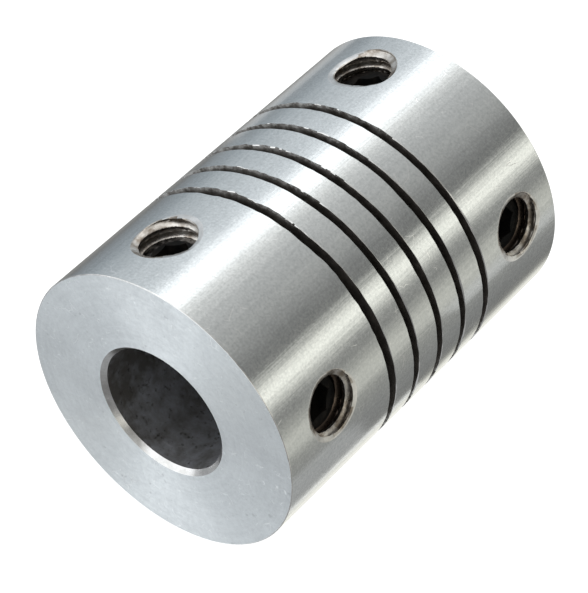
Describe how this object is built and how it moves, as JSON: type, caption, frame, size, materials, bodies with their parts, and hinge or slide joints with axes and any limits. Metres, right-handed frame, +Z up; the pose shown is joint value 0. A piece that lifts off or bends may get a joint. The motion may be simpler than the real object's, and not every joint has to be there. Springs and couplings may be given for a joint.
{
  "type": "shaft coupling",
  "caption": "One-piece aluminium beam coupling: a helical slit between two bored hubs, each with radial grub screws, joins a larger shaft to a smaller one and flexes for misalignment.",
  "frame": {"origin": "on the shaft axis, midway between the two end faces", "axes": "+Y along the shaft axis, from the 8 mm end to the 5 mm end; +Z up, through one grub screw of each end; +X through the other"},
  "size_m": [0.018, 0.025, 0.018],
  "materials": {
    "body": "turned, fine lathe marks, satin",
    "grub_screw": "black oxide, satin"
  },
  "bodies": {
    "near_hub": {"near_hub": "body"},
    "beam_1": {"beam_section_1": "body"},
    "beam_2": {"beam_section_2": "body"},
    "beam_3": {"beam_section_3": "body"},
    "beam_4": {"beam_section_4": "body"},
    "beam_5": {"beam_section_5": "body"},
    "far_hub": {"far_hub": "body"},
    "near_screw_top": {"near_screw_top": "grub_screw"},
    "near_screw_side": {"near_screw_side": "grub_screw"},
    "far_screw_top": {"far_screw_top": "grub_screw"},
    "far_screw_side": {"far_screw_side": "grub_screw"}
  },
  "joints": [
    {"name": "near_bend_z", "type": "hinge", "parent": "near_hub", "child": "beam_1", "pos_m": [0, -0.00408, 0], "axis": [0, 0, 1], "range_deg": [-1, 1], "stiffness_Nm_per_rad": 1.9, "deforming": ["beam_section_1"]},
    {"name": "near_bend_x", "type": "hinge", "parent": "beam_1", "child": "beam_2", "pos_m": [0, -0.00242, 0], "axis": [1, 0, 0], "range_deg": [-1, 1], "stiffness_Nm_per_rad": 1.9, "deforming": ["beam_section_2"]},
    {"name": "end_float", "type": "slide", "parent": "beam_2", "child": "beam_3", "axis": [0, 1, 0], "range_m": [-0.0002, 0.0002], "stiffness_N_per_m": 24000, "deforming": ["beam_section_3"]},
    {"name": "wind_up", "type": "hinge", "parent": "beam_3", "child": "beam_4", "pos_m": [0, 0.00147, 0], "axis": [0, 1, 0], "range_deg": [-5, 5], "stiffness_Nm_per_rad": 7.6, "deforming": ["beam_section_4"]},
    {"name": "far_bend_x", "type": "hinge", "parent": "beam_4", "child": "beam_5", "pos_m": [0, 0.00314, 0], "axis": [1, 0, 0], "range_deg": [-1, 1], "stiffness_Nm_per_rad": 1.9, "deforming": ["beam_section_5"]},
    {"name": "far_bend_z", "type": "hinge", "parent": "beam_5", "child": "far_hub", "pos_m": [0, 0.0048, 0], "axis": [0, 0, 1], "range_deg": [-1, 1], "stiffness_Nm_per_rad": 1.9, "deforming": ["beam_section_5"]},
    {"name": "near_screw_top_travel", "type": "slide", "parent": "near_hub", "child": "near_screw_top", "axis": [0, 0, 1], "range_m": [-0.0007, 0.0014]},
    {"name": "near_screw_side_travel", "type": "slide", "parent": "near_hub", "child": "near_screw_side", "axis": [1, 0, 0], "range_m": [-0.0007, 0.0014]},
    {"name": "far_screw_top_travel", "type": "slide", "parent": "far_hub", "child": "far_screw_top", "axis": [0, 0, 1], "range_m": [-0.0021, 0.0014]},
    {"name": "far_screw_side_travel", "type": "slide", "parent": "far_hub", "child": "far_screw_side", "axis": [1, 0, 0], "range_m": [-0.0021, 0.0014]}
  ]
}
